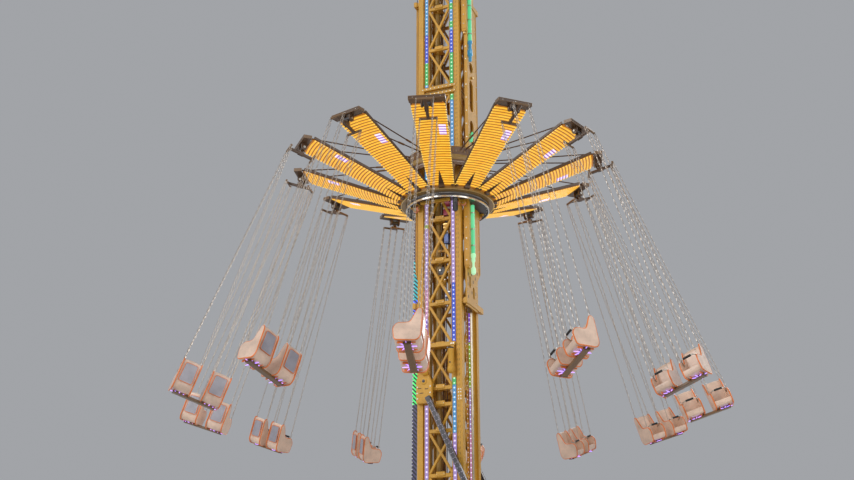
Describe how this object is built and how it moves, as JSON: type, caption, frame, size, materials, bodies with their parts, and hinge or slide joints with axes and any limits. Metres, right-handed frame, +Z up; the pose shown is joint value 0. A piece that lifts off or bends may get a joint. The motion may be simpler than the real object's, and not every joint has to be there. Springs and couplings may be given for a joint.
{
  "type": "chair swing ride tower",
  "caption": "Tower chair swing ride: a climbing carriage on a lattice tower turns a star of lamp-lit arms with double seats hung on chains.",
  "frame": {"origin": "on the ground, on the axis of the tower", "axes": "+Z up along the tower, the front face of the tower towards -Y, the struts towards +X"},
  "size_m": [13.6804, 13.6804, 25.9403],
  "materials": {
    "tower_paint": "golden yellow paint on steel, slightly worn",
    "base_paint": "dark grey paint, satin",
    "strut_paint": "near black paint, satin",
    "ring_paint": "golden brown paint, semi gloss",
    "arm_paint": "dark bronze paint, satin",
    "bearing_steel": "machined, lightly greased",
    "rail_steel": "run bright by the rollers",
    "chain_steel": "galvanised, brownish silver",
    "seat_shell": "moulded shell, cream with orange edges",
    "light_line": "translucent sleeve over small lamps"
  },
  "bodies": {
    "root": {"base_frame": "base_paint", "tower_post_front_left": "tower_paint", "tower_post_front_right": "tower_paint", "tower_post_back_right": "tower_paint", "tower_post_back_left": "tower_paint", "tower_lacing_front": "tower_paint", "tower_lacing_right": "tower_paint", "tower_lacing_back": "tower_paint", "tower_lacing_left": "tower_paint", "guide_rail_right": "rail_steel", "guide_rail_left": "rail_steel", "tower_head": "tower_paint", "strut_front": "strut_paint", "strut_back": "strut_paint", "stop_plate_front": "tower_paint", "stop_plate_back": "tower_paint", "line_bracket": "tower_paint", "light_line": "light_line"},
    "carriage": {"carriage_plate": "strut_paint", "slide_right": "tower_paint", "slide_left": "tower_paint", "slewing_bearing": "bearing_steel"},
    "star": {"star_ring": "ring_paint", "star_collar": "ring_paint", "arm_01": "arm_paint", "arm_02": "arm_paint", "arm_03": "arm_paint", "arm_04": "arm_paint", "arm_05": "arm_paint", "arm_06": "arm_paint", "arm_07": "arm_paint", "arm_08": "arm_paint", "arm_09": "arm_paint", "arm_10": "arm_paint", "arm_11": "arm_paint", "arm_12": "arm_paint"},
    "swing_01": {"hanger_01": "chain_steel", "double_seat_01": "seat_shell"},
    "swing_02": {"hanger_02": "chain_steel", "double_seat_02": "seat_shell"},
    "swing_03": {"hanger_03": "chain_steel", "double_seat_03": "seat_shell"},
    "swing_04": {"hanger_04": "chain_steel", "double_seat_04": "seat_shell"},
    "swing_05": {"hanger_05": "chain_steel", "double_seat_05": "seat_shell"},
    "swing_06": {"hanger_06": "chain_steel", "double_seat_06": "seat_shell"},
    "swing_07": {"hanger_07": "chain_steel", "double_seat_07": "seat_shell"},
    "swing_08": {"hanger_08": "chain_steel", "double_seat_08": "seat_shell"},
    "swing_09": {"hanger_09": "chain_steel", "double_seat_09": "seat_shell"},
    "swing_10": {"hanger_10": "chain_steel", "double_seat_10": "seat_shell"},
    "swing_11": {"hanger_11": "chain_steel", "double_seat_11": "seat_shell"},
    "swing_12": {"hanger_12": "chain_steel", "double_seat_12": "seat_shell"}
  },
  "joints": [
    {"name": "carriage_lift", "type": "slide", "parent": "root", "child": "carriage", "axis": [0, 0, 1], "range_m": [-3.99, 6.1]},
    {"name": "star_turn", "type": "hinge", "parent": "carriage", "child": "star", "pos_m": [0, 0, 12.6], "axis": [0, 0, 1], "continuous": true},
    {"name": "swing_out_01", "type": "hinge", "parent": "star", "child": "swing_01", "pos_m": [1.06116, -3.9603, 13.54], "axis": [-0.9659, -0.2588, 0], "range_deg": [-19, 15]},
    {"name": "swing_out_02", "type": "hinge", "parent": "star", "child": "swing_02", "pos_m": [2.89914, -2.89914, 13.54], "axis": [-0.7071, -0.7071, 0], "range_deg": [-19, 15]},
    {"name": "swing_out_03", "type": "hinge", "parent": "star", "child": "swing_03", "pos_m": [3.9603, -1.06116, 13.54], "axis": [-0.2588, -0.9659, 0], "range_deg": [-19, 15]},
    {"name": "swing_out_04", "type": "hinge", "parent": "star", "child": "swing_04", "pos_m": [3.9603, 1.06116, 13.54], "axis": [0.2588, -0.9659, 0], "range_deg": [-19, 15]},
    {"name": "swing_out_05", "type": "hinge", "parent": "star", "child": "swing_05", "pos_m": [2.89914, 2.89914, 13.54], "axis": [0.7071, -0.7071, 0], "range_deg": [-19, 15]},
    {"name": "swing_out_06", "type": "hinge", "parent": "star", "child": "swing_06", "pos_m": [1.06116, 3.9603, 13.54], "axis": [0.9659, -0.2588, 0], "range_deg": [-19, 15]},
    {"name": "swing_out_07", "type": "hinge", "parent": "star", "child": "swing_07", "pos_m": [-1.06116, 3.9603, 13.54], "axis": [0.9659, 0.2588, 0], "range_deg": [-19, 15]},
    {"name": "swing_out_08", "type": "hinge", "parent": "star", "child": "swing_08", "pos_m": [-2.89914, 2.89914, 13.54], "axis": [0.7071, 0.7071, 0], "range_deg": [-19, 15]},
    {"name": "swing_out_09", "type": "hinge", "parent": "star", "child": "swing_09", "pos_m": [-3.9603, 1.06116, 13.54], "axis": [0.2588, 0.9659, 0], "range_deg": [-19, 15]},
    {"name": "swing_out_10", "type": "hinge", "parent": "star", "child": "swing_10", "pos_m": [-3.9603, -1.06116, 13.54], "axis": [-0.2588, 0.9659, 0], "range_deg": [-19, 15]},
    {"name": "swing_out_11", "type": "hinge", "parent": "star", "child": "swing_11", "pos_m": [-2.89914, -2.89914, 13.54], "axis": [-0.7071, 0.7071, 0], "range_deg": [-19, 15]},
    {"name": "swing_out_12", "type": "hinge", "parent": "star", "child": "swing_12", "pos_m": [-1.06116, -3.9603, 13.54], "axis": [-0.9659, 0.2588, 0], "range_deg": [-19, 15]}
  ]
}
